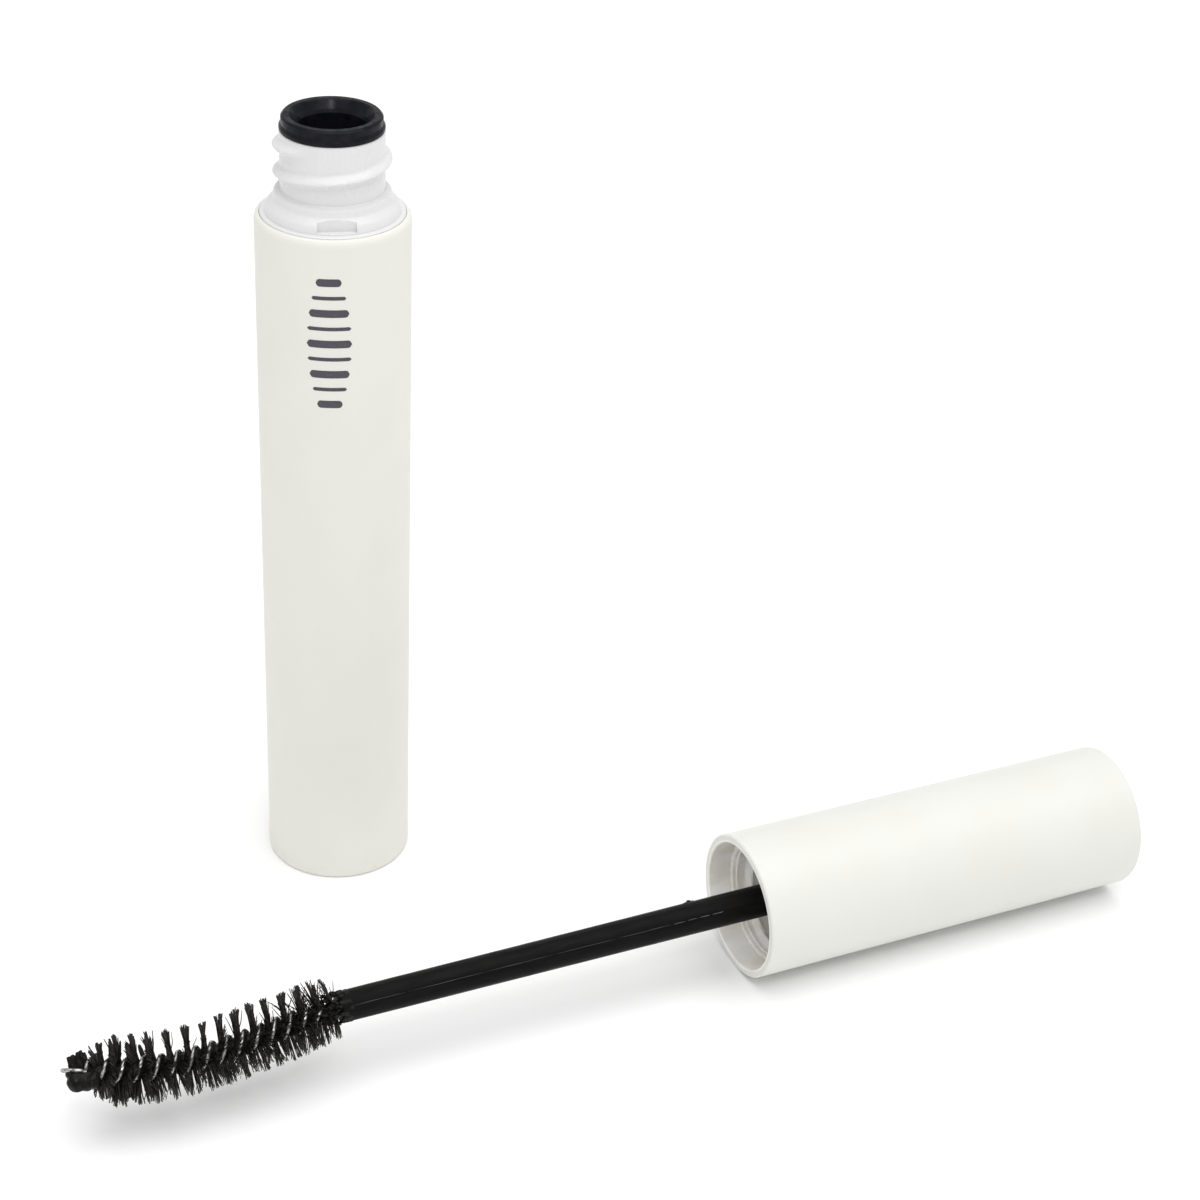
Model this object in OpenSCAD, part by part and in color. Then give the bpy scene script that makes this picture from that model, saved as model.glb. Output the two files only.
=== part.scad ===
// Mascara tube with its wand applicator taken out and lying beside it.
// Millimetres. +Z is up along the bottle's axis. The origin is the centre of the bottle's base.
// The applicator lies along X on the same surface: brush towards -X, cap towards +X.

/* [Bottle] */

// outside diameter of the outer sleeve
sleeve_d = 17; // [16.8:0.1:17.4]
// height of the sleeve's top rim above the base
sleeve_h = 83.1; // [81.5:0.1:86]
// wall of the outer sleeve
sleeve_wall = 1.0; // [0.9:0.05:1.05]
// thickness of the sleeve's floor
sleeve_floor = 1.4; // [1.2:0.1:1.5]
// wall of the inner bottle
bottle_wall = 0.8; // [0.6:0.05:0.9]
// depth of product left in the inner bottle
fill_h = 54; // [20:1:70]

/* [Neck] */

// outside diameter of the neck between the threads
neck_d = 11.3; // [11.2:0.05:11.4]
// height of the neck's top above the sleeve's rim
neck_h = 9.25; // [9.2:0.05:9.3]
// lead of the single-start right-hand thread
thread_pitch = 3.0; // [2.9:0.05:3.1]
// height of the neck's thread ridge
thread_depth = 0.75; // [0.6:0.05:0.75]
// how far round the neck the ridge runs, degrees
thread_sweep = 500; // [430:10:510]
// width of the locating notch in the shoulder
notch_w = 4.2; // [3:0.1:5]

/* [Wiper] */

// height of the wiper's flange above the neck
flange_h = 1.7; // [1.4:0.05:1.9]
// bore of the wiper's tube
wiper_bore = 7.36; // [7:0.02:7.4]
// hole at the bottom of the wiper that the stem passes through
orifice_d = 3.9; // [3.86:0.02:4.0]

/* [Cap] */

// outside diameter of the cap
cap_d = 16.9; // [16.8:0.05:17]
// length of the cap
cap_l = 50.1; // [47:0.1:54]
// bore of the cap's mouth
cap_bore = 15.0; // [14.95:0.01:15.05]

/* [Wand] */

// length of stem that shows outside the cap
stem_l = 48.8; // [48:0.1:49.2]
// stem diameter at the cap's mouth
stem_d0 = 3.72; // [3.6:0.02:3.76]
// stem diameter at the brush
stem_d1 = 3.47; // [3.3:0.01:3.5]
// thickness of the twisted pair where it is held in the stem
wire_d = 1.0; // [0.9:0.02:1.0]
// distance of each strand from the core's centre where bristles fill the twist
strand_r = 1.2; // [1.1:0.05:1.3]
// length of the part of the wire that carries bristles
brush_l = 27.6; // [26.5:0.1:28]
// diameter of the brush over the bristles
brush_d = 7.5; // [6.5:0.1:7.8]
// how far the brush bows off the stem's axis
bow = 1.6; // [1.2:0.05:1.8]
// length of one full twist of the wire
twist = 3.68; // [3.4:0.02:4]

/* [Place beside the bottle] */

// where the cap's mouth lies along X
lie_x = 34.3; // [32:0.1:40]
// how far in front of the bottle the applicator lies
lie_y = 40.2; // [36:0.1:60]

/* [Hidden] */

$fn = 96;
sleeve_r = sleeve_d / 2;
cap_r = cap_d / 2;
cap_bore_r = cap_bore / 2;
neck_r = neck_d / 2;
bottle_r = sleeve_r - sleeve_wall - 0.15;
bottle_in_r = bottle_r - bottle_wall;
bottle_floor_z = sleeve_floor + 0.2;
// the ledge that the closed cap comes down to
ledge_z = sleeve_h + 0.15;
neck_top = sleeve_h + neck_h;
neck_bore_r = neck_r - 1.05;
bow_turn = 41.9;
// heights of the cap's mouth on the bottle: closed, and held up with the brush just clear of the wiper
closed_z = ledge_z + 0.25;
raised_z = neck_top + flange_h + stem_l + brush_l + 2.95;
// the neck's ridge starts at this height and angle
neck_ridge_z = neck_top - 5.35;
neck_ridge_a = 70.4;
// how far the cap turns from loose to closed
close_turn = 405;
// where the lying applicator's upper side points once it has been picked up onto the bottle's axis
lift = [-lie_x, lie_y, raised_z - cap_r];
lift_n = [lift[1], -(lift[0] + lift[2]), lift[1]] / norm([lift[1], -(lift[0] + lift[2]), lift[1]]);
lift_c = -lift_n[0] * lift_n[0] / (1 - lift_n[0] * lift_n[0]);
lift_s = -lift_n[1] / (1 - lift_n[0] * lift_n[0]);
up_a = atan2(-lift_s * lift_n[0] + (1 - lift_c) * lift_n[2] * lift_n[1],
             lift_s * lift_n[1] + (1 - lift_c) * lift_n[2] * lift_n[0]);

// the cap's ridge starts this deep in the mouth and climbs towards it; closed, it lies midway
// between the neck's turns
cap_ridge_z = -7.0;
cap_ridge_a = up_a - close_turn - neck_ridge_a
  - 360 * (closed_z - cap_ridge_z - neck_ridge_z - thread_pitch / 2) / thread_pitch;

// the applicator's own frame: +Z runs from the cap's mouth along the stem to the brush
module lying() {
  translate([lie_x, -lie_y, cap_r])
    rotate([0, -90, 0])
      children();
}

// height of a thread ridge at angle a and height z: a rounded helix that fades in and out at its ends
function ridge_at(a, z, z0, a0, sweep, half, lead) =
  let (k0 = floor((z - z0) / thread_pitch - (a - a0) / 360 + 0.5))
    max([for (k = [k0 - 1, k0, k0 + 1])
      let (s = a - a0 + 360 * k, d = abs(z - z0 - thread_pitch * s / 360),
           f = max(0, min(1, s / lead + 0.5, (sweep - s) / lead + 0.5)))
        d < half ? (0.5 + 0.5 * cos(180 * d / half)) * f * f * (3 - 2 * f) : 0]);

// a tube between z1 and z2 whose threaded wall stands at r; out is +1 on a neck and -1 in a bore
module threaded_tube(r, back_r, depth, z1, z2, nz, na, z0, a0, sweep, half, out) {
  rows = [for (j = [0:nz])
    let (z = z1 + (z2 - z1) * j / nz)
      [for (i = [0:na - 1])
        let (a = 360 * i / na, h = depth * ridge_at(a, z, z0, a0, sweep, half, 40))
          [(r + out * h) * cos(a), (r + out * h) * sin(a), z]]];
  back = [for (z = [z1, z2]) for (i = [0:na - 1])
    let (a = 360 * i / na) [back_r * cos(a), back_r * sin(a), z]];
  nb = (nz + 1) * na;
  wall = [for (j = [0:nz - 1]) for (i = [0:na - 1])
    let (p = j * na + i, q = j * na + (i + 1) % na)
      each [[p, p + na, q], [q, p + na, q + na]]];
  rear = [for (i = [0:na - 1])
    let (p = nb + i, q = nb + (i + 1) % na)
      each [[p, q, p + na], [q, q + na, p + na]]];
  low = [for (i = [0:na - 1])
    let (p = i, q = (i + 1) % na)
      each [[p, q, nb + p], [q, nb + q, nb + p]]];
  top = [for (i = [0:na - 1])
    let (p = nz * na + i, q = nz * na + (i + 1) % na, u = nb + na + i, v = nb + na + (i + 1) % na)
      each [[p, u, q], [q, u, v]]];
  flip = [for (f = concat(wall, rear, low, top)) [f[2], f[1], f[0]]];
  polyhedron(points = concat([for (w = rows) each w], back),
    faces = out > 0 ? concat(wall, rear, low, top) : flip, convexity = 8);
}

// printed outer shell: open at the top, closed and flat at the base
module outer_sleeve() {
  color([0.90, 0.90, 0.86])
    rotate_extrude()
      polygon([[0, 0], [sleeve_r - 0.35, 0], [sleeve_r - 0.1, 0.1], [sleeve_r, 0.35],
        [sleeve_r, sleeve_h - 0.75],
        [sleeve_r - 0.06, sleeve_h - 0.42], [sleeve_r - 0.2, sleeve_h - 0.16],
        [sleeve_r - 0.38, sleeve_h - 0.03], [sleeve_r - 0.55, sleeve_h],
        [sleeve_r - 0.55, sleeve_h - 0.95], [sleeve_r - sleeve_wall, sleeve_h - 0.95],
        [sleeve_r - sleeve_wall, sleeve_floor], [0, sleeve_floor]]);
}

// half profile of the inner bottle
function bottle_profile() = [
  [0, bottle_floor_z], [bottle_r - 0.5, bottle_floor_z], [bottle_r, bottle_floor_z + 0.5],
  [bottle_r, sleeve_h - 0.93], [sleeve_r - 0.6, sleeve_h - 0.93], [sleeve_r - 0.6, ledge_z - 0.1],
  [sleeve_r - 0.7, ledge_z], [sleeve_r - 1.15, ledge_z], [sleeve_r - 1.3, ledge_z + 0.75],
  [sleeve_r - 1.48, ledge_z + 1.0], [sleeve_r - 1.75, ledge_z + 1.25], [neck_r + 0.85, ledge_z + 1.5],
  [neck_r + 0.72, ledge_z + 1.68], [neck_r + 0.7, ledge_z + 2.2], [neck_r + 0.6, ledge_z + 2.36],
  [neck_r + 0.42, ledge_z + 2.42], [neck_r + 0.14, ledge_z + 2.46], [neck_r, ledge_z + 2.6],
  [neck_r, neck_top - 0.2], [neck_r - 0.15, neck_top], [neck_bore_r + 0.1, neck_top],
  [neck_bore_r, neck_top - 0.1], [neck_bore_r, sleeve_h + 0.4], [bottle_in_r, sleeve_h - 2.4],
  [bottle_in_r, bottle_floor_z + 1.4], [bottle_in_r - 0.4, bottle_floor_z + 1.0], [0, bottle_floor_z + 1.0]];

// moulded bottle that holds the product: flared shoulder, locating notch, threaded neck
module inner_bottle() {
  color([0.89, 0.89, 0.90])
    union() {
      difference() {
        rotate_extrude()
          polygon(bottle_profile());
        rotate([0, 0, -106])
          translate([neck_r + 0.85, -notch_w / 2, ledge_z + 0.15])
            cube([4, notch_w, 3]);
      }
      threaded_tube(neck_r + 0.003, neck_r - 0.5, thread_depth, ledge_z + 2.7, neck_top - 0.25, 38, 60,
        neck_ridge_z, neck_ridge_a, thread_sweep, 0.9, 1);
    }
}

// soft wiper pushed into the neck: flange, tube, and a cone that narrows to the stem's size
module wiper() {
  wr = wiper_bore / 2;
  tr = neck_bore_r - 0.04;
  fz = neck_top + 0.02;
  tz = neck_top - 11;
  orf = orifice_d / 2;
  color([0.06, 0.06, 0.07])
    rotate_extrude()
      polygon([[tr, fz], [neck_r - 0.08, fz], [neck_r, fz + 0.12], [neck_r, fz + 0.45],
        [neck_r - 0.2, fz + 0.8], [neck_r - 0.22, fz + flange_h - 0.25], [neck_r - 0.45, fz + flange_h],
        [wr + 0.95, fz + flange_h], [wr + 0.8, fz + flange_h - 0.12], [wr + 0.2, fz + flange_h - 0.95],
        [wr, fz + flange_h - 1.3], [wr, tz], [orf + 0.35, tz - 2.4], [orf, tz - 2.7], [orf, tz - 3.9],
        [orf + 0.45, tz - 3.9], [orf + 0.75, tz - 3.3], [tr, tz - 0.3], [tr + 0.02, tz]]);
}

// product in the bottle, with the channel that the brush works in
module mascara_fill() {
  r = bottle_in_r - 0.05;
  z = bottle_floor_z + 1.05;
  color([0.03, 0.03, 0.035])
    rotate_extrude()
      polygon([[0, z], [r - 0.45, z], [r, z + 0.45], [r, z + fill_h], [r - 0.5, z + fill_h - 0.5],
        [r - 0.85, z + fill_h - 2.4], [5.45, z + fill_h * 0.5], [5.45, z + 1.1], [5.1, z + 0.6],
        [0, z + 0.6]]);
}

// cap: plain closed tube
module cap_shell() {
  color([0.92, 0.92, 0.89])
    lying()
      mirror([0, 0, 1])
        rotate_extrude()
          polygon([[cap_bore_r + 0.12, 0], [cap_r - 0.15, 0], [cap_r, 0.15], [cap_r, cap_l - 0.3],
            [cap_r - 0.09, cap_l - 0.09], [cap_r - 0.3, cap_l], [0, cap_l], [0, cap_l - 1.4],
            [cap_bore_r - 0.3, cap_l - 1.4], [cap_bore_r, cap_l - 1.7], [cap_bore_r, 0.12]]);
}

// threaded insert inside the cap: skirt, seal face, and a hub that holds the stem's head
module inner_cap() {
  skirt = cap_bore_r - 0.04;
  roof = neck_top + flange_h + 0.02 - closed_z + 0.25;
  color([0.87, 0.87, 0.85])
    lying()
      mirror([0, 0, 1])
        union() {
          rotate_extrude()
            polygon([[skirt - 0.45, 2.75], [skirt - 0.1, 2.75], [skirt, 2.9], [skirt, 24],
              [skirt - 0.85, 24], [skirt - 0.85, roof + 1.3], [4.5, roof + 1.3], [4.5, 22],
              [3.28, 22], [3.28, roof + 1.3], [2.1, roof + 1.3], [2.1, roof], [6.88, roof],
              [6.88, 2.9]]);
          for (a = [0:60:300])
            rotate([0, 0, a])
              translate([4.3, -0.4, roof + 1.2])
                cube([skirt - 0.6 - 4.3, 0.8, 9]);
          mirror([0, 0, 1])
            threaded_tube(6.6, skirt - 0.25, 0.7, -roof - 0.4, -3.3, 32, 48,
              cap_ridge_z, cap_ridge_a, 340, 0.8, -1);
        }
}

// moulded rod: head in the cap's hub, long taper, socket for the wire in its end
module stem() {
  d = (stem_d0 - stem_d1) / 2 / stem_l;
  r0 = stem_d0 / 2;
  roof = neck_top + flange_h + 0.02 - closed_z + 0.25;
  color([0.05, 0.05, 0.055])
    lying()
      difference() {
        rotate_extrude()
          polygon([[0, -21.8], [2.9, -21.8], [3.2, -21.5], [3.2, -roof - 1.4], [r0 + d * roof, -roof - 1.4],
            [r0 + d * roof, -roof], [stem_d1 / 2, stem_l - 0.25], [stem_d1 / 2 - 0.25, stem_l], [0, stem_l]]);
        translate([0, 0, stem_l - 10])
          cylinder(h = 11, r = wire_d / 2 + 0.05);
      }
}

// offset of the brush's core from the stem's axis, at z from the cap's mouth
z_tip = stem_l + 0.4 + brush_l;
function brush_t(z) = max(0, min(1, (z - stem_l - 0.4) / (brush_l + 2.3)));
function core_x(z) = let (t = brush_t(z)) -bow * sin(180 * pow(t, 1.3)) + 0.8 * pow(t, 4);
function core_slope(z) = atan((core_x(z + 0.2) - core_x(z - 0.2)) / 0.4);
// direction from strand to strand, a left-hand twist; bristles leave at right angles to it
function twist_a(z) = 90 - 360 * (z - z_tip) / twist;
// how far each strand is from the core's centre: tight in the stem, pushed apart by the bristles beyond it
function spread(z) =
  let (t = max(0, min(1, (z - stem_l - 0.1) / 5)), g = wire_d * 0.26)
    g + (strand_r - g) * t * t * (3 - 2 * t);

// centre line of one strand of the twisted pair; side is 0 or 180
function strand(z, side) =
  let (f = twist_a(z) + side)
    [core_x(z) + spread(z) * cos(f), spread(z) * sin(f), z];

// centre line of the whole hairpin: down one strand, round the end loop, back along the other
function hairpin(z0, n) =
  let (m = 12)
    concat([for (i = [0:n]) strand(z0 + (z_tip - z0) * i / n, 0)],
      [for (i = [1:m - 1])
        let (t = 180 * i / m, z = z_tip + 2.08 * sin(t))
          [core_x(z), strand_r * cos(t), z]],
      [for (i = [n:-1:0]) strand(z0 + (z_tip - z0) * i / n, 180)]);

// a round wire swept along a path of points; side is a direction that the path never runs along
module swept_wire(path, r, side, sides) {
  n = len(path);
  rings = [for (i = [0:n - 1])
    let (d = path[min(i + 1, n - 1)] - path[max(i - 1, 0)], t = d / norm(d), c = cross(t, side),
         u = c / norm(c), v = cross(u, t))
      for (k = [0:sides - 1])
        path[i] + r * (cos(360 * k / sides) * u + sin(360 * k / sides) * v)];
  skin = [for (i = [0:n - 2]) for (k = [0:sides - 1])
    let (p = i * sides + k, q = i * sides + (k + 1) % sides)
      each [[p, q, p + sides], [q, q + sides, p + sides]]];
  tips = [[for (k = [sides - 1:-1:0]) k], [for (k = [0:sides - 1]) (n - 1) * sides + k]];
  polyhedron(points = rings, faces = concat(skin, tips), convexity = 10);
}

// one steel wire bent double and twisted: shank held in the stem, bowed working part, loop at the tip
module brush_wire() {
  color([0.75, 0.75, 0.77])
    lying()
      rotate([0, 0, bow_turn])
        swept_wire(hairpin(stem_l - 9.8, 140), wire_d * 0.23, [1, 0, 0], 8);
}

// brush radius along its length
function brush_r(t) =
  brush_d / 2 * (t < 0.04 ? 0.93 : (t > 0.88 ? 1 - pow((t - 0.88) / 0.12, 1.4) * 0.42 : 1));

// tufts of bristles pinched between the strands, each one turned a little further round than the last
module bristles() {
  n = 60;
  color([0.04, 0.04, 0.045])
    lying()
      rotate([0, 0, bow_turn])
        for (i = [0:n - 1]) {
          t = i / (n - 1);
          z = stem_l + 0.75 + (brush_l - 0.6) * t;
          w = max(0.12, spread(z) - 0.3);
          translate([core_x(z), 0, z])
            rotate([0, core_slope(z), 0])
              rotate([0, 0, twist_a(z) + 90])
                union() {
                  cube([1.7, 2 * w, 0.34], center = true);
                  for (k = [-1, 0, 1])
                    translate([0, k * max(0, w - 0.17), 0])
                      rotate([0, 90, 0])
                        cylinder(h = 2 * brush_r(t), r = 0.14, center = true, $fn = 16);
                }
        }
}

// dab of dried product on the stem just outside the cap
module stem_product() {
  color([0.03, 0.03, 0.035])
    lying()
      rotate([0, 0, bow_turn + 8])
        difference() {
          translate([1.35, 0, 7.4])
            sphere(r = 0.98, $fn = 48);
          cylinder(h = 20, r = stem_d0 / 2 + 0.03);
        }
}

// two clots of product on the brush's tip, above and below the wire's end loop
module tip_product() {
  z = z_tip + 0.75;
  color([0.03, 0.03, 0.035])
    lying()
      rotate([0, 0, bow_turn])
        translate([core_x(z), 0, z])
          rotate([0, core_slope(z), 0])
            for (s = [0, 180])
              rotate([0, 0, s])
                intersection() {
                  translate([0.15, 0, -0.25])
                    sphere(r = 1.75, $fn = 48);
                  translate([0.42, -3, -0.42])
                    cube([6, 6, 6]);
                }
}

outer_sleeve();
inner_bottle();
wiper();
mascara_fill();
tip_product();
stem_product();
stem();
cap_shell();
inner_cap();
brush_wire();
bristles();
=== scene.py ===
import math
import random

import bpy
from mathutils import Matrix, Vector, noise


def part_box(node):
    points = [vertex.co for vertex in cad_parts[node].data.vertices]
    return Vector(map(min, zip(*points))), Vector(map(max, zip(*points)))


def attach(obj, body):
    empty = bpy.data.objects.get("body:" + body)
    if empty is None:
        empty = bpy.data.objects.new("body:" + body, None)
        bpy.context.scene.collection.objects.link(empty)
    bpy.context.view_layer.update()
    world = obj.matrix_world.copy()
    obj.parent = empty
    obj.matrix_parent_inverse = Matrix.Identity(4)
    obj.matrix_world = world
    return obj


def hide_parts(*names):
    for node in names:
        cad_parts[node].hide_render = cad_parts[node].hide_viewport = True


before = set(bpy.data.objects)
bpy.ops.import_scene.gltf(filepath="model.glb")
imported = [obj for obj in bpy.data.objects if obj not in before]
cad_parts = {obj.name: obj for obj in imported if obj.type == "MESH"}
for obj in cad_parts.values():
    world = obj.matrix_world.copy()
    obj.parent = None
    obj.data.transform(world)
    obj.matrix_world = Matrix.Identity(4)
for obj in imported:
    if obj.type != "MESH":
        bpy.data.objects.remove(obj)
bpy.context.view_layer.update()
# Looks of the mascara tube: materials, bristles, product, printed mark, light and camera.
# Metres, in the part's own frame: +Z up, origin at the centre of the bottle's base.
# The brush is worked out in millimetres in its own frame: +Z from the cap's mouth along the stem to
# the tip, +X the side that the brush bows away from, and -Y the side that the camera sees.

MM = 0.001

# ---- driving dimensions, as the CAD part has them, in millimetres ----

STEM_L = 48.8
STEM_R0, STEM_R1 = 1.86, 1.735
BRUSH_L = 27.6
BRUSH_R = 3.75
BOW = 1.6
TWIST = 3.68
STRAND_R = 1.2
CLOSED_R = 0.26         # the strands' distance from the centre where no bristles part them
BOW_TURN = math.radians(41.9)
BRUSH_Z = STEM_L + 0.4
Z_TIP = BRUSH_Z + BRUSH_L
HALF_TURN = TWIST / 2

cap_low, cap_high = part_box("cap_shell")
MOUTH = Vector((cap_low.x, (cap_low.y + cap_high.y) / 2, (cap_low.z + cap_high.z) / 2))
sleeve_low, sleeve_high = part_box("outer_sleeve")
SLEEVE_R = sleeve_high.x / MM
CAP_BORE_EDGE = (7.85 * MM, 7.70 * MM)      # just outside the cap's bore, and just over its wall
CAP_END_WALL = (0.7 * MM, 0.9 * MM)         # depths in the wall at the cap's closed end

# from the applicator's millimetres to the part's metres, and the same for the brush's frame
APPLICATOR = Matrix(((0, 0, -MM, MOUTH.x), (0, MM, 0, MOUTH.y), (MM, 0, 0, MOUTH.z), (0, 0, 0, 1)))
BRUSH = APPLICATOR @ Matrix.Rotation(BOW_TURN, 4, "Z")


# ---- materials ----

class Finish:
    """One node material around a Principled shader, with short ways to add what they all use."""

    def __init__(self, name, roughness=0.4, specular=0.5, **sockets):
        self.material = bpy.data.materials.new(name)
        self.material.use_nodes = True
        tree = self.material.node_tree
        self.nodes, self.link = tree.nodes, tree.links.new
        self.shader = self.nodes["Principled BSDF"]
        self.shader.inputs["Roughness"].default_value = roughness
        self.shader.inputs["Specular IOR Level"].default_value = specular
        for socket, value in sockets.items():
            self.shader.inputs[socket.replace("_", " ")].default_value = value
        self.where = self.nodes.new("ShaderNodeTexCoord").outputs["Object"]

    def noise(self, size_mm, detail=3.0, stretch=(1, 1, 1), distortion=0.0):
        """Noise with features about size_mm across, drawn out along an axis by its stretch."""
        mapping = self.nodes.new("ShaderNodeMapping")
        mapping.inputs["Scale"].default_value = [1 / s for s in stretch]
        self.link(self.where, mapping.inputs["Vector"])
        tex = self.nodes.new("ShaderNodeTexNoise")
        tex.inputs["Scale"].default_value = 1 / (size_mm * MM)
        tex.inputs["Detail"].default_value = detail
        tex.inputs["Distortion"].default_value = distortion
        self.link(mapping.outputs["Vector"], tex.inputs["Vector"])
        return tex.outputs["Fac"]

    def remap(self, value, low, high, to_low=0.0, to_high=1.0):
        """value between low and high, as a number between to_low and to_high."""
        node = self.nodes.new("ShaderNodeMapRange")
        limits = {"From Min": low, "From Max": high, "To Min": to_low, "To Max": to_high}
        for socket, number in limits.items():
            node.inputs[socket].default_value = number
        self.link(value, node.inputs["Value"])
        return node.outputs["Result"]

    def times(self, a, b):
        """The product of two sockets."""
        node = self.nodes.new("ShaderNodeMath")
        node.operation = "MULTIPLY"
        self.link(a, node.inputs[0])
        self.link(b, node.inputs[1])
        return node.outputs["Value"]

    def mix(self, share, a, b):
        """Colour a where share is 0 and b where it is 1; each is three numbers or a socket."""
        node = self.nodes.new("ShaderNodeMix")
        node.data_type = "RGBA"
        self.link(share, node.inputs["Factor"])
        for socket, colour in ((node.inputs[6], a), (node.inputs[7], b)):
            if isinstance(colour, tuple):
                socket.default_value = (*colour, 1)
            else:
                self.link(colour, socket)
        return node.outputs[2]

    def place(self, axis):
        """The surface point's own coordinate along axis, in metres."""
        node = self.nodes.new("ShaderNodeSeparateXYZ")
        self.link(self.where, node.inputs["Vector"])
        return node.outputs[axis]

    def off_axis(self, point, keep):
        """Distance in metres from a line through point, along the axis that keep leaves out."""
        shift = self.nodes.new("ShaderNodeVectorMath")
        shift.operation = "SUBTRACT"
        self.link(self.where, shift.inputs[0])
        shift.inputs[1].default_value = point
        flat = self.nodes.new("ShaderNodeVectorMath")
        flat.operation = "MULTIPLY"
        self.link(shift.outputs["Vector"], flat.inputs[0])
        flat.inputs[1].default_value = keep
        length = self.nodes.new("ShaderNodeVectorMath")
        length.operation = "LENGTH"
        self.link(flat.outputs["Vector"], length.inputs[0])
        return length.outputs["Value"]

    def colour(self, socket):
        self.link(socket, self.shader.inputs["Base Color"])

    def roughness(self, socket):
        self.link(socket, self.shader.inputs["Roughness"])

    def bump(self, height, depth_mm, strength=1.0):
        """Adds a bump, over any that is already there."""
        node = self.nodes.new("ShaderNodeBump")
        node.inputs["Distance"].default_value = depth_mm * MM
        node.inputs["Strength"].default_value = strength
        self.link(height, node.inputs["Height"])
        below = self.shader.inputs["Normal"]
        if below.is_linked:
            self.link(below.links[0].from_socket, node.inputs["Normal"])
        self.link(node.outputs["Normal"], below)


def satin_plastic(name, colour, shade, mark_tone, edge, roughness):
    """White moulded plastic: faint mottling, fine grain, and faint darker marks where edge puts them."""
    f = Finish(name, specular=0.42)
    body = f.mix(f.remap(f.noise(9, 2), 0.35, 0.65), colour, shade)
    marks = f.times(f.remap(f.noise(0.9, 5, (1, 1, 1), 0.6), 0.6, 0.78, 0, 0.5), edge(f))
    f.colour(f.mix(marks, body, mark_tone))
    f.roughness(f.remap(f.noise(1.6, 4), 0.3, 0.7, roughness - 0.06, roughness + 0.07))
    f.bump(f.noise(0.16, 2), 0.0022, 0.7)
    f.bump(f.noise(2.5, 1), 0.006, 0.5)
    return f


def sleeve_edge(f):
    """1 near the sleeve's foot, falling to a trace above: the marks darken the sleeve towards its foot."""
    return f.remap(f.place("Z"), 0.0004, 0.0035, 1.0, 0.12)


def cap_edge(f):
    """1 near the cap's mouth, where it rubs on the bottle's ledge."""
    return f.remap(f.place("X"), MOUTH.x + 0.0002, MOUTH.x + 0.003, 1.0, 0.12)


sleeve = satin_plastic("sleeve_satin", (0.782, 0.780, 0.724), (0.768, 0.765, 0.706),
                       (0.62, 0.61, 0.56), sleeve_edge, 0.44)
cap = satin_plastic("cap_satin", (0.745, 0.747, 0.704), (0.730, 0.731, 0.684),
                    (0.64, 0.63, 0.58), cap_edge, 0.40)


def film_and_painted_light_inside(f, bare_painted_light):
    """Colour inside the cap: mottled dried product over white plastic, with bare specks. Painted light:
    all its colours are set lighter than the outside plastic, to stand in for light that the shaded bore
    doesn't get.
    """
    patches = f.remap(f.noise(3.2, 3, (1.6, 1, 1), 0.8), 0.36, 0.62)
    # painted light: both mottle colours are lighter than the outside plastic
    film_and_painted_light = f.mix(patches, (0.86, 0.83, 0.755), (0.955, 0.95, 0.93))
    specks = f.remap(f.noise(0.7, 4), 0.68, 0.76, 0, 0.5)
    return f.mix(specks, film_and_painted_light, bare_painted_light)


# painted light: bare plastic inside the cap, set lighter than the outside plastic
CLEAN_INSIDE_PAINTED_LIGHT = (0.92, 0.92, 0.89)

# the cap's bore gets these colours and their painted light too, and its outside doesn't
near_axis = cap.remap(cap.off_axis(MOUTH, (0, 1, 1)), *CAP_BORE_EDGE)
short_of_end = cap.remap(cap.place("X"), *(cap_high.x - depth for depth in CAP_END_WALL))
bore = cap.times(near_axis, short_of_end)
outside = cap.shader.inputs["Base Color"].links[0].from_socket
cap.colour(cap.mix(bore, outside, film_and_painted_light_inside(cap, CLEAN_INSIDE_PAINTED_LIGHT)))

# the insert inside the cap: the same product mottle and painted light
insert = Finish("insert_film_painted_light", specular=0.5)
insert.colour(film_and_painted_light_inside(insert, CLEAN_INSIDE_PAINTED_LIGHT))
insert.roughness(insert.remap(insert.noise(1.2, 3), 0.3, 0.7, 0.16, 0.36))
insert.bump(insert.noise(0.6, 3), 0.012, 0.6)

neck = Finish("neck_polymer", specular=0.45)
neck.colour(neck.mix(neck.remap(neck.noise(4, 3), 0.3, 0.7), (0.738, 0.735, 0.736), (0.722, 0.720, 0.722)))
neck.roughness(neck.remap(neck.noise(1.5, 3), 0.3, 0.7, 0.26, 0.34))
neck.bump(neck.noise(1.8, 1), 0.002, 0.4)

rubber = Finish("wiper_wet", specular=0.075, Coat_Weight=0.07, Coat_Roughness=0.1)
rubber.colour(rubber.mix(rubber.remap(rubber.noise(1.1, 4), 0.4, 0.65), (0.0055, 0.0060, 0.0085),
                         (0.0105, 0.0105, 0.0150)))
rubber.roughness(rubber.remap(rubber.noise(0.9, 3, (1, 1, 1), 0.5), 0.38, 0.62, 0.22, 0.5))
rubber.bump(rubber.noise(0.55, 3), 0.03, 0.55)


def black_product(name, roughness, lump_mm, depth_mm, specular):
    """Mascara: near black, half wet and half dried, lumpy."""
    f = Finish(name, specular=specular)
    f.colour(f.mix(f.remap(f.noise(0.5, 4), 0.4, 0.7), (0.0050, 0.0048, 0.0048), (0.0140, 0.0125, 0.0105)))
    f.roughness(f.remap(f.noise(0.45, 3), 0.35, 0.65, roughness - 0.14, roughness + 0.14))
    f.bump(f.noise(lump_mm, 4), depth_mm, 0.7)
    return f


product = black_product("mascara_paste", 0.42, 0.35, 0.05, 0.15)
clot = black_product("mascara_wet_clot", 0.24, 0.5, 0.03, 0.10)

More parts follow.
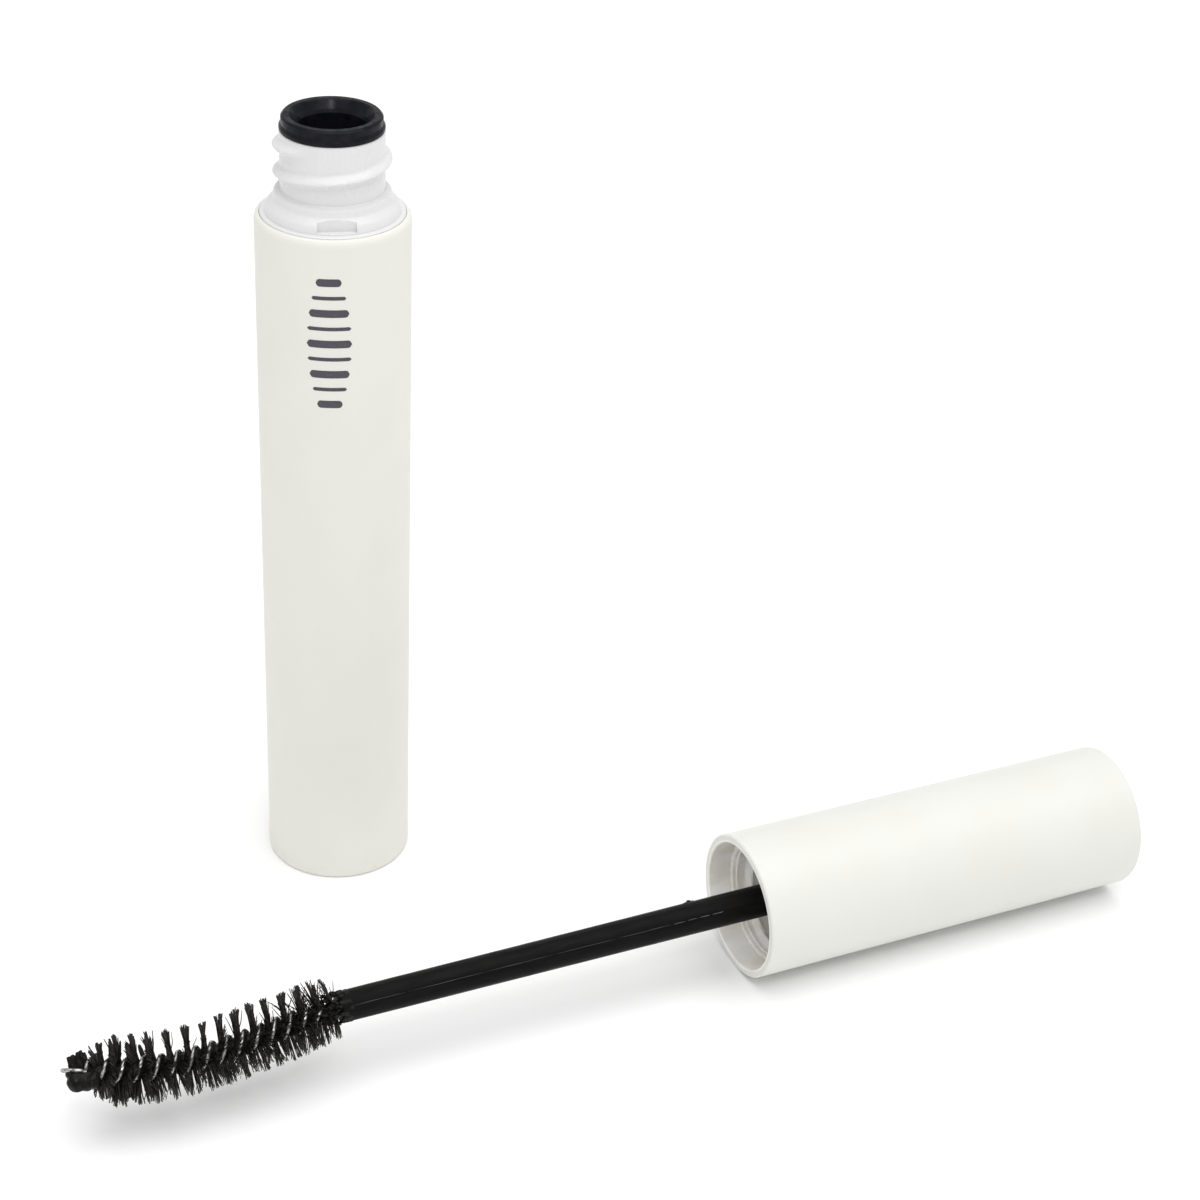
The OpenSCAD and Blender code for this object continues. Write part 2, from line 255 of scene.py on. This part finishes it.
stem_skin = Finish("stem_gloss", specular=0.055)
streaks = stem_skin.noise(0.35, 4, (9, 1, 1))
stem_skin.colour(stem_skin.mix(stem_skin.remap(streaks, 0.4, 0.7), (0.0052, 0.0050, 0.0050),
                               (0.0084, 0.0079, 0.0076)))
stem_skin.roughness(stem_skin.remap(stem_skin.noise(0.7, 4, (5, 1, 1)), 0.35, 0.65, 0.3, 0.5))
stem_skin.bump(stem_skin.noise(0.25, 3, (6, 1, 1)), 0.006, 0.6)

flash_skin = Finish("moulding_flash", specular=0.3)
worn = flash_skin.remap(flash_skin.noise(1.3, 3, (2, 1, 1)), 0.40, 0.62)
dull = flash_skin.mix(worn, (0.014, 0.013, 0.014), (0.045, 0.042, 0.043))
# painted highlight: the light grey that the line shows beside the cap
painted_highlight_grey = flash_skin.mix(worn, (0.07, 0.068, 0.07), (0.17, 0.165, 0.17))
# painted highlight: the line's colour is bright beside the cap, and dull further along the stem
highlight_by_cap = flash_skin.remap(flash_skin.place("X"), MOUTH.x - 0.013, MOUTH.x - 0.005)
flash_skin.colour(flash_skin.mix(highlight_by_cap, dull, painted_highlight_grey))
flash_skin.roughness(flash_skin.remap(flash_skin.noise(0.4, 3), 0.3, 0.7, 0.35, 0.6))
flash_skin.bump(flash_skin.noise(0.15, 2), 0.003, 0.5)

steel = Finish("wire_smeared", specular=0.5, Metallic=1.0)
smear = steel.remap(steel.noise(0.8, 4, (1, 1, 1), 0.5), 0.46, 0.62)
steel.colour(steel.mix(smear, (0.50, 0.49, 0.475), (0.045, 0.042, 0.040)))
steel.roughness(steel.remap(smear, 0, 1, 0.30, 0.6))
steel.bump(steel.noise(0.12, 2, (8, 1, 1)), 0.004, 0.6)

nylon = Finish("bristle_coated", specular=0.24)
nylon.colour(nylon.mix(nylon.remap(nylon.noise(0.45, 4), 0.42, 0.66), (0.0068, 0.0062, 0.0054),
                       (0.036, 0.031, 0.0235)))
nylon.roughness(nylon.remap(nylon.noise(0.3, 3), 0.35, 0.65, 0.3, 0.55))
nylon.bump(nylon.noise(0.09, 2), 0.012, 0.7)

ink = Finish("print_ink", specular=0.35)
ink.colour(ink.mix(ink.remap(ink.noise(0.14, 3), 0.60, 0.74), (0.066, 0.060, 0.076), (0.15, 0.145, 0.16)))
ink.roughness(ink.remap(ink.noise(0.5, 3), 0.3, 0.7, 0.32, 0.46))
ink.bump(ink.noise(0.1, 2), 0.001, 0.5)

NODE_FINISHES = {
    "outer_sleeve": sleeve,
    "inner_bottle": neck,
    "wiper": rubber,
    "mascara_fill": product,
    "stem": stem_skin,
    "cap_shell": cap,
    "inner_cap": insert,
    "brush_wire": steel,
}
for node_name, finish in NODE_FINISHES.items():
    node_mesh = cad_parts[node_name].data
    node_mesh.materials.clear()
    node_mesh.materials.append(finish.material)


WELD = 0.002 * MM


def smooth_facets(obj, degrees):
    """Welds a faceted node's triangles and shades it smooth across edges flatter than degrees."""
    tree = bpy.data.node_groups.new("smooth_" + obj.name, "GeometryNodeTree")
    for way in ("INPUT", "OUTPUT"):
        tree.interface.new_socket("Geometry", in_out=way, socket_type="NodeSocketGeometry")
    nodes, link = tree.nodes, tree.links.new
    start, end = nodes.new("NodeGroupInput"), nodes.new("NodeGroupOutput")
    drop = nodes.new("GeometryNodeRemoveAttribute")
    drop.inputs["Name"].default_value = "custom_normal"
    weld = nodes.new("GeometryNodeMergeByDistance")
    weld.inputs["Distance"].default_value = WELD
    angle = nodes.new("GeometryNodeInputMeshEdgeAngle")
    flat = nodes.new("FunctionNodeCompare")
    flat.operation = "LESS_THAN"
    flat.inputs["B"].default_value = math.radians(degrees)
    edges = nodes.new("GeometryNodeSetShadeSmooth")
    edges.domain = "EDGE"
    faces = nodes.new("GeometryNodeSetShadeSmooth")
    link(start.outputs[0], drop.inputs["Geometry"])
    link(drop.outputs["Geometry"], weld.inputs["Geometry"])
    link(weld.outputs["Geometry"], edges.inputs["Geometry"])
    link(angle.outputs["Unsigned Angle"], flat.inputs["A"])
    link(flat.outputs["Result"], edges.inputs["Shade Smooth"])
    link(edges.outputs["Geometry"], faces.inputs["Geometry"])
    faces.inputs["Shade Smooth"].default_value = True
    link(faces.outputs["Geometry"], end.inputs[0])
    obj.modifiers.new("smooth_facets", "NODES").node_group = tree


smooth_facets(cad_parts["inner_bottle"], 38)
smooth_facets(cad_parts["inner_cap"], 38)
smooth_facets(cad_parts["brush_wire"], 60)


# ---- mesh helpers ----

class Shape:
    """Vertices and faces of one piece, gathered in millimetres."""

    def __init__(self):
        self.verts, self.faces = [], []

    def tube(self, points, radii, sides, side=Vector((0.31, 0.17, 0.93))):
        """A closed tube along points with a radius at each, ending in flat tips."""
        first, last = len(self.verts), len(points) - 1
        for i, (p, r) in enumerate(zip(points, radii)):
            along = (points[min(i + 1, last)] - points[max(i - 1, 0)]).normalized()
            u = along.cross(side).normalized()
            v = along.cross(u)
            for k in range(sides):
                a = 2 * math.pi * k / sides
                self.verts.append(p + r * (math.cos(a) * u + math.sin(a) * v))
        for i in range(last):
            for k in range(sides):
                a, b = first + i * sides + k, first + i * sides + (k + 1) % sides
                self.faces.append((a, b, b + sides, a + sides))
        self.faces.append(tuple(range(first + sides - 1, first - 1, -1)))
        self.faces.append(tuple(range(first + last * sides, first + (last + 1) * sides)))

    def ball(self, centre, radii, axes, rough, seed, rings=10, sides=14):
        """An ellipsoid with the given half-sizes along three axes, made lumpy by rough."""
        first = len(self.verts)
        for i in range(rings + 1):
            polar = math.pi * i / rings
            for k in range(sides if 0 < i < rings else 1):
                turn = 2 * math.pi * k / sides
                way = Vector((math.sin(polar) * math.cos(turn), math.sin(polar) * math.sin(turn),
                              math.cos(polar)))
                lump = 1 + rough * noise.noise(way * 1.7 + Vector((seed, -seed, 0.5 * seed)))
                steps = (axis * (r * w * lump) for axis, r, w in zip(axes, radii, way))
                self.verts.append(centre + sum(steps, Vector()))

        def ring(i, k):
            return first if i == 0 else first + 1 + (i - 1) * sides + k % sides

        end = first + 1 + (rings - 1) * sides
        for k in range(sides):
            self.faces.append((ring(0, 0), ring(1, k), ring(1, k + 1)))
            for i in range(1, rings - 1):
                self.faces.append((ring(i, k), ring(i + 1, k), ring(i + 1, k + 1), ring(i, k + 1)))
            self.faces.append((ring(rings - 1, k), end, ring(rings - 1, k + 1)))

    def build(self, name, matrix, body, finish, flat=False):
        """The piece as an object that rides a body, with matrix taking it to the part's frame."""
        mesh = bpy.data.meshes.new(name)
        mesh.from_pydata([matrix @ v for v in self.verts], [], self.faces)
        mesh.validate()
        mesh.polygons.foreach_set("use_smooth", [not flat] * len(mesh.polygons))
        mesh.materials.append(finish.material)
        obj = bpy.data.objects.new(name, mesh)
        bpy.context.scene.collection.objects.link(obj)
        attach(obj, body)
        return obj


def fuse(obj, voxel_mm, smooth_passes):
    """Runs a piece's overlapping lumps together into one skin, as wet product does."""
    remesh = obj.modifiers.new("fuse", "REMESH")
    remesh.mode = "VOXEL"
    remesh.voxel_size = voxel_mm * MM
    remesh.use_smooth_shade = True
    settle = obj.modifiers.new("settle", "SMOOTH")
    settle.iterations = smooth_passes
    settle.factor = 0.5


# ---- the stem's and the brush's own curves, in millimetres ----

def stem_r(z):
    """The stem's radius at z."""
    return STEM_R0 - (STEM_R0 - STEM_R1) * z / STEM_L


LOOP_L = 2.3            # the wire's loop beyond the bristles
TIP_LIFT = 0.8


def core_x(z):
    """How far the bowed core is from the stem's line at z."""
    t = min(1, max(0, (z - BRUSH_Z) / (BRUSH_L + LOOP_L)))
    return -BOW * math.sin(math.pi * t ** 1.3) + TIP_LIFT * t ** 4


def core(z):
    return Vector((core_x(z), 0, z))


def core_way(z):
    """The core's direction at z."""
    return (core(z + 0.2) - core(z - 0.2)).normalized()


def twist_angle(z):
    """Where the wire's first strand is about the core at z."""
    return math.radians(90 - 360 * (z - Z_TIP) / TWIST)


def spread(z):
    """How far each strand of wire is from the core's centre."""
    t = min(1, max(0, (z - STEM_L - 0.1) / 5))
    return CLOSED_R + (STRAND_R - CLOSED_R) * t * t * (3 - 2 * t)


def brush_r(z):
    """Length of the bristles at z, shorter at both ends."""
    t = (z - STEM_L - 0.75) / (BRUSH_L - 0.8)
    if t < 0.06:
        return BRUSH_R * 0.92
    return BRUSH_R * (1 - 0.42 * (max(0, t - 0.88) / 0.12) ** 1.4)


def outward(z, angle):
    """Unit vector at right angles to the core at z, at that angle about it from +X."""
    way = core_way(z)
    across = Vector((way.z, 0, -way.x))
    return math.cos(angle) * across + math.sin(angle) * Vector((0, 1, 0))


# ---- bristles ----

rng = random.Random(41)
FILAMENTS = 92          # for each half turn of the wire
FILAMENT_R = 0.053
SIDES = 5
UPRIGHT_Z = 66.5        # the upper tufts lean to the stem below this, and to the tip above it
ROOT_R = 0.3            # a bristle starts this far from the core's centre, between the strands
STRAYS = 70


def filament(shape, z, base_angle, z_end, angle, length, r, curl, waist=0.0):
    """One bristle from inside the core at z to its tip, which points at angle and lies at z_end.
    waist moves its middle along the core, to draw a tuft in below its tips."""
    root = core(z) + ROOT_R * outward(z, base_angle)
    tip = core(z_end) + length * outward(z_end, angle)
    bend = outward(z, base_angle) * (0.42 * length)
    points = []
    for t in (0.0, 0.34, 0.67, 1.0):
        p = root.lerp(tip, t)
        p += (core(z) + bend - root.lerp(tip, 0.4)) * (0.5 * math.sin(math.pi * t) * 0.35)
        points.append(p + (curl + core_way(z) * waist) * math.sin(math.pi * t ** 1.3))
    shape.tube(points, (r * 1.1, r * 1.05, r, r * rng.uniform(0.55, 0.9)), SIDES)


def clumps(n, lean):
    """Places across a tuft where bristles stick together: share of a half turn, lean and length."""
    places = []
    for i in range(n):
        share = (i + 0.5) / n - 0.5 + rng.uniform(-0.3, 0.3) / n
        places.append((share, rng.gauss(0, lean), rng.uniform(0.9, 1.03)))
    return places


def swing(share, even):
    """Angle at a share of a half turn; with even near 1, bristles bunch at the tuft's middle."""
    return math.pi * (share - even * math.sin(2 * math.pi * share) / (2 * math.pi))


def tuft(shape, k, up):
    """One half turn's bristles on one side of the core: separate, leaning tufts above, and fuller,
    straighter ones below. near_root and near_tip fall from 1 at the brush's ends to 0."""
    z0 = Z_TIP - HALF_TURN * k
    near_root = max(0, 1 - (z0 - STEM_L) / 11)
    near_tip = max(0, 1 - (Z_TIP - z0) / 8)
    side = 0 if up else math.pi
    gather = -0.24 if up else 0.03          # below 0, the tuft fans out along the core
    even = 0.88 if up else 0.12
    stick = (0.42 if up else 0.5) + 0.3 * near_tip
    tilt = 0
    if up:
        towards_tip = max(-1, min(1, (z0 - UPRIGHT_Z) / 3.5))
        tilt = 0.19 * towards_tip * min(1, (z0 - STEM_L) / 4)
        knots = clumps(rng.choice((4, 5, 6)), 0.05)
    else:
        knots = clumps(11 - int(4 * near_tip), 0.07)
    for i in range(FILAMENTS):
        s = (i + rng.random()) / FILAMENTS - 0.5
        knot = min(knots, key=lambda c: abs(c[0] - s))
        held = stick * rng.uniform(0.5, 1.2)
        seen = s + (knot[0] - s) * held
        z = z0 + HALF_TURN * s
        if z < STEM_L + 0.35 or z > Z_TIP - 0.35:
            continue
        facing = math.cos(swing(s, even))
        splay = near_root * (0.11 if up else 0.14) * abs(facing)
        lean = knot[1] + rng.gauss(0, 0.03) + tilt + splay
        if rng.random() < (0.03 + 0.14 * near_root):
            lean += rng.uniform(-0.32, 0.32)
        length = brush_r(z) * (knot[2] if up else 0.5 + 0.5 * knot[2]) * rng.uniform(0.93, 1.02)
        if rng.random() < 0.10:
            length *= rng.uniform(0.55, 0.9)
        z_end = z0 + HALF_TURN * seen * (1 - gather * facing) + lean * length
        wobble = rng.gauss(0, 0.05 if up else 0.16)
        curl = Vector((rng.gauss(0, 0.03), rng.gauss(0, 0.05), rng.gauss(0, 0.04)))
        r = FILAMENT_R * rng.uniform(0.85, 1.25) * (1 + 0.5 * near_tip)
        waist = -0.44 * HALF_TURN * s if up else 0
        angle = side - swing(seen, even) + wobble
        filament(shape, z, side - math.pi * s, z_end, angle, length, r, curl, waist)


hairs = Shape()
TUFTS = int((BRUSH_L - 0.4) / HALF_TURN) + 1
for k in range(1, TUFTS + 1):
    tuft(hairs, k, True)
    tuft(hairs, k, False)
# odd bristles that stand out of the tufts near the stem
for i in range(STRAYS):
    z = STEM_L + rng.uniform(0.5, 6)
    a = rng.uniform(0, 2 * math.pi)
    curl = Vector((rng.gauss(0, 0.12), rng.gauss(0, 0.12), rng.gauss(0, 0.1)))
    filament(hairs, z, a, z + rng.uniform(-0.9, 1.9), a + rng.gauss(0, 0.3),
             brush_r(z) * rng.uniform(0.7, 1.0), FILAMENT_R * rng.uniform(0.8, 1.1), curl)
bristle_piece = hairs.build("bristle_filaments", BRUSH, "cap_and_brush", nylon)
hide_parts("bristles")


# ---- product worked into the core, twisting with the wire ----

packing = Shape()
RINGS, AROUND = 220, 18
for i in range(RINGS + 1):
    # an oval across the two strands, turned with them
    z = STEM_L + 0.5 + (Z_TIP - STEM_L - 0.6) * i / RINGS
    wide = max(0.2, spread(z) - 0.1)
    deep = 0.42 + 0.33 * (spread(z) - CLOSED_R) / (STRAND_R - CLOSED_R)
    for j in range(AROUND):
        q = 2 * math.pi * j / AROUND
        lump = 1 + 0.22 * noise.noise(Vector((math.cos(q) * 2, math.sin(q) * 2, z * 1.9)))
        x, y = wide * math.cos(q) * lump, deep * math.sin(q) * lump
        a = twist_angle(z)
        packing.verts.append(core(z) + outward(z, a) * x + outward(z, a + math.pi / 2) * y)
for i in range(RINGS):
    for j in range(AROUND):
        a, b = i * AROUND + j, i * AROUND + (j + 1) % AROUND
        packing.faces.append((a, b, b + AROUND, a + AROUND))
packing.faces.append(tuple(range(AROUND - 1, -1, -1)))
packing.faces.append(tuple(range(RINGS * AROUND, (RINGS + 1) * AROUND)))
packing.build("core_product", BRUSH, "cap_and_brush", product)

# clotted bristles: thick stubs near the tip, mostly underneath
STUBS, STUBS_BELOW = 26, 17
STUB_OUTLINE = ((0.2, 1.0), (0.45, 1.15), (0.65, 1.2), (0.82, 1.1), (0.94, 0.85), (1.0, 0.35))
stubs = Shape()
for i in range(STUBS):
    z = Z_TIP - 0.5 - 6.5 * rng.random() ** 1.3
    a = math.pi + rng.gauss(0, 0.55) if i < STUBS_BELOW else rng.gauss(0, 0.5)
    r = rng.uniform(0.13, 0.24)
    reach = brush_r(z) * rng.uniform(0.72, 0.93)
    way = outward(z, a) + core_way(z) * rng.uniform(-0.12, 0.12)
    points = [core(z) + way * reach * t for t, _ in STUB_OUTLINE]
    stubs.tube(points, [r * share for _, share in STUB_OUTLINE], 8)
stubs.build("clotted_bristles", BRUSH, "cap_and_brush", product)

# small crumbs and smears of product where the bristles meet the stem
CRUMBS = 110
crumbs = Shape()
for i in range(CRUMBS):
    z = STEM_L + rng.uniform(-1.2, 1.6)
    a = rng.uniform(0, 2 * math.pi)
    at_stem = z < STEM_L + 0.15
    reach = STEM_R1 - 0.03 if at_stem else rng.uniform(0.2, 1.8)
    size = rng.uniform(0.12, 0.30)
    axes = (outward(z, a), outward(z, a + math.pi / 2), core_way(z))
    rise = size * (0.5 if at_stem else 1)
    crumbs.ball(core(z) + axes[0] * reach, (rise, size, size * 1.5), axes, 0.6, i, rings=6, sides=9)
crumbs.build("root_crumbs", BRUSH, "cap_and_brush", product)


# ---- product on the tip: a blocky tuft above the wire's loop and a smooth clot below ----

AXES = (Vector((1, 0, 0)), Vector((0, 1, 0)), Vector((0, 0, 1)))
tip = Shape()
# lumps listed one by one: a centre, then half-sizes
for x, y, z, rx, ry, rz in (
    (-0.80, -0.50, 77.75, 1.10, 0.95, 1.05),
    (-0.95, -0.55, 76.90, 1.05, 0.95, 1.05),
    (-0.95, -0.45, 76.05, 1.00, 0.90, 0.95),
    (-0.30, -0.72, 77.75, 0.62, 0.62, 0.90),
    (-0.42, -0.80, 76.80, 0.62, 0.58, 1.00),
    (0.12, -0.35, 78.35, 0.42, 0.62, 0.42),
):
    tip.ball(Vector((x, y, z)), (rx, ry, rz), AXES, 0.10, x * 7 + z, rings=14, sides=20)
# clotted bristles of the blocky tuft: place across and along, height of the top, radius
for y, z, top, r in (
    (0.0, 77.9, 1.95, 0.26), (0.35, 77.6, 1.75, 0.24), (-0.3, 77.5, 2.05, 0.25), (0.1, 77.2, 1.9, 0.25),
    (-0.25, 76.95, 2.2, 0.25), (0.3, 76.75, 2.0, 0.25), (-0.1, 76.55, 2.3, 0.22), (0.15, 76.2, 2.0, 0.22),
    (-0.35, 76.3, 1.75, 0.22), (0.0, 77.7, 1.3, 0.5), (0.0, 76.9, 1.35, 0.55),
):
    points = [Vector((0.3 + (top - 0.3) * t, y, z + 0.16 * t - 0.05)) for t in (-0.3, 0, 0.4, 0.8, 1)]
    tip.tube(points, [r, r, r, r * 0.97, r * 0.75], 10, side=Vector((0, 0.3, 0.95)))
tip_piece = tip.build("tip_clot", BRUSH, "tip_dab", clot)
fuse(tip_piece, 0.075, 2)
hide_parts("tip_product")

# a small smear of dried product on the stem, with a lower lump on each side of it
dab = Shape()
# listed: degrees about the stem, distance from the cap's mouth, and three half-sizes
for degrees, z, rise, along, wide in (
    (8, 5.80, 0.30, 0.30, 0.36),
    (14, 5.35, 0.14, 0.30, 0.40),
    (-6, 6.30, 0.10, 0.40, 0.30),
):
    a = math.radians(degrees)
    out = Vector((math.cos(a), math.sin(a), 0))
    axes = (out, Vector((-out.y, out.x, 0)), AXES[2])
    centre = out * (stem_r(z) - 0.03) + Vector((0, 0, z))
    dab.ball(centre, (rise, wide, along), axes, 0.16, z, rings=12, sides=18)
dab_piece = dab.build("stem_dab_smear", BRUSH, "stem_dab", product)
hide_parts("stem_product")


# ---- mould's parting line along the stem: thin raised flash, broken in places ----

flash = Shape()
LINE_TURN = math.radians(-96)
LINE_START, LINE_END = 2.7, STEM_L - 1.0
LINE_R = 0.045
z = LINE_START
while z < LINE_END - 0.6:
    run = rng.uniform(1.0, 1.7) if z < 8 else rng.uniform(4, 11)
    run = min(run, LINE_END - z)
    steps = 12
    points, radii = [], []
    for i in range(steps + 1):
        along = z + run * i / steps
        a = LINE_TURN + 0.006 * math.sin(along * 1.3)
        points.append(Vector((math.cos(a) * stem_r(along), math.sin(a) * stem_r(along), along)))
        radii.append(LINE_R * min(1, 0.15 + 3.5 * min(i, steps - i) / steps))
    flash.tube(points, radii, 6, side=Vector((1, 0, 0)))
    z += run + rng.uniform(0.12, 0.3)
flash.build("stem_parting_line", BRUSH, "wand_stem", flash_skin)


# ---- printed mark on the sleeve: plain rounded bars, longest in the middle ----

MARK_TURN = math.radians(-113)
MARK_LOW, MARK_HIGH = 63.2, 79.3
MARK_WIDE = 4.9
BARS = 9
INK_RISE, INK_SINK = 0.014, 0.02
mark = Shape()
for i in range(BARS):
    share = (i + 0.5) / BARS
    mid = MARK_LOW + (MARK_HIGH - MARK_LOW) * share
    length = MARK_WIDE * (0.42 + 0.58 * math.sin(math.pi * share) ** 0.8)
    half = 0.21 if i % 2 else 0.44
    steps = 24
    first = len(mark.verts)
    for j in range(steps + 1):
        u = -length / 2 + length * j / steps
        over = max(0.0, abs(u) - (length / 2 - half))
        h = math.sqrt(max(0.0004, half * half - over * over))
        a = MARK_TURN + u / SLEEVE_R
        low, high = SLEEVE_R - INK_SINK, SLEEVE_R + INK_RISE
        for r, z in ((low, mid - h), (high, mid - h), (high, mid + h), (low, mid + h)):
            mark.verts.append(Vector((math.cos(a) * r, math.sin(a) * r, z)))
    for j in range(steps):
        for q in range(4):
            a, b = first + 4 * j + q, first + 4 * j + (q + 1) % 4
            mark.faces.append((a, b, b + 4, a + 4))
    mark.faces.append((first + 3, first + 2, first + 1, first))
    mark.faces.append(tuple(first + 4 * steps + q for q in range(4)))
mark.build("printed_mark", Matrix.Scale(MM, 4), "bottle", ink, flat=True)


# ---- floor, light and camera ----

FLOOR_HALF = 4
corners = [(x * FLOOR_HALF, y * FLOOR_HALF, 0) for x, y in ((-1, -1), (1, -1), (1, 1), (-1, 1))]
floor_mesh = bpy.data.meshes.new("floor")
floor_mesh.from_pydata(corners, [], [(0, 1, 2, 3)])
floor = bpy.data.objects.new("floor", floor_mesh)
floor_paint = Finish("floor_paint", roughness=0.9, specular=0.1)
floor_paint.colour(floor_paint.mix(floor_paint.noise(40, 2), (0.94, 0.94, 0.94), (0.96, 0.96, 0.96)))
floor_mesh.materials.append(floor_paint.material)
bpy.context.scene.collection.objects.link(floor)

world = bpy.data.worlds.new("studio")
world.use_nodes = True
world.node_tree.nodes["Background"].inputs["Color"].default_value = (1, 1, 1, 1)
world.node_tree.nodes["Background"].inputs["Strength"].default_value = 0.71
bpy.context.scene.world = world
bpy.context.scene.view_settings.view_transform = "Standard"


def softbox(name, place, target, size, watts):
    """A square soft light at place, facing target."""
    lamp = bpy.data.lights.new(name, "AREA")
    lamp.shape = "SQUARE"
    lamp.size = size
    lamp.energy = watts
    obj = bpy.data.objects.new(name, lamp)
    obj.location = place
    obj.rotation_euler = (Vector(target) - Vector(place)).to_track_quat("-Z", "Y").to_euler()
    bpy.context.scene.collection.objects.link(obj)


softbox("overhead", (0.06, -0.14, 0.9), (0, -0.02, 0.03), size=1.0, watts=5.6)
softbox("key", (-0.12, -0.42, 0.6), (0, -0.02, 0.04), size=0.12, watts=0.35)

# the camera that was fitted to the object's outlines in the photograph
CAMERA_PLACE = Vector((-0.0873325, -0.247661, 0.1928427))
CAMERA_LENS = 78.193
yaw, pitch, roll = (math.radians(angle) for angle in (26.159, 31.0167, 2.9296))
look = Vector((math.sin(yaw) * math.cos(pitch), math.cos(yaw) * math.cos(pitch), -math.sin(pitch)))
level = Vector((math.cos(yaw), -math.sin(yaw), 0))
rise = level.cross(look)
right = level * math.cos(roll) + rise * math.sin(roll)
top = rise * math.cos(roll) - level * math.sin(roll)
camera_data = bpy.data.cameras.new("camera")
camera_data.sensor_width = 36
camera_data.lens = CAMERA_LENS
camera_data.clip_start = 0.01
camera = bpy.data.objects.new("camera", camera_data)
turned = Matrix((right, top, -look)).transposed().to_4x4()
camera.matrix_world = Matrix.Translation(CAMERA_PLACE) @ turned
bpy.context.scene.collection.objects.link(camera)
bpy.context.scene.camera = camera
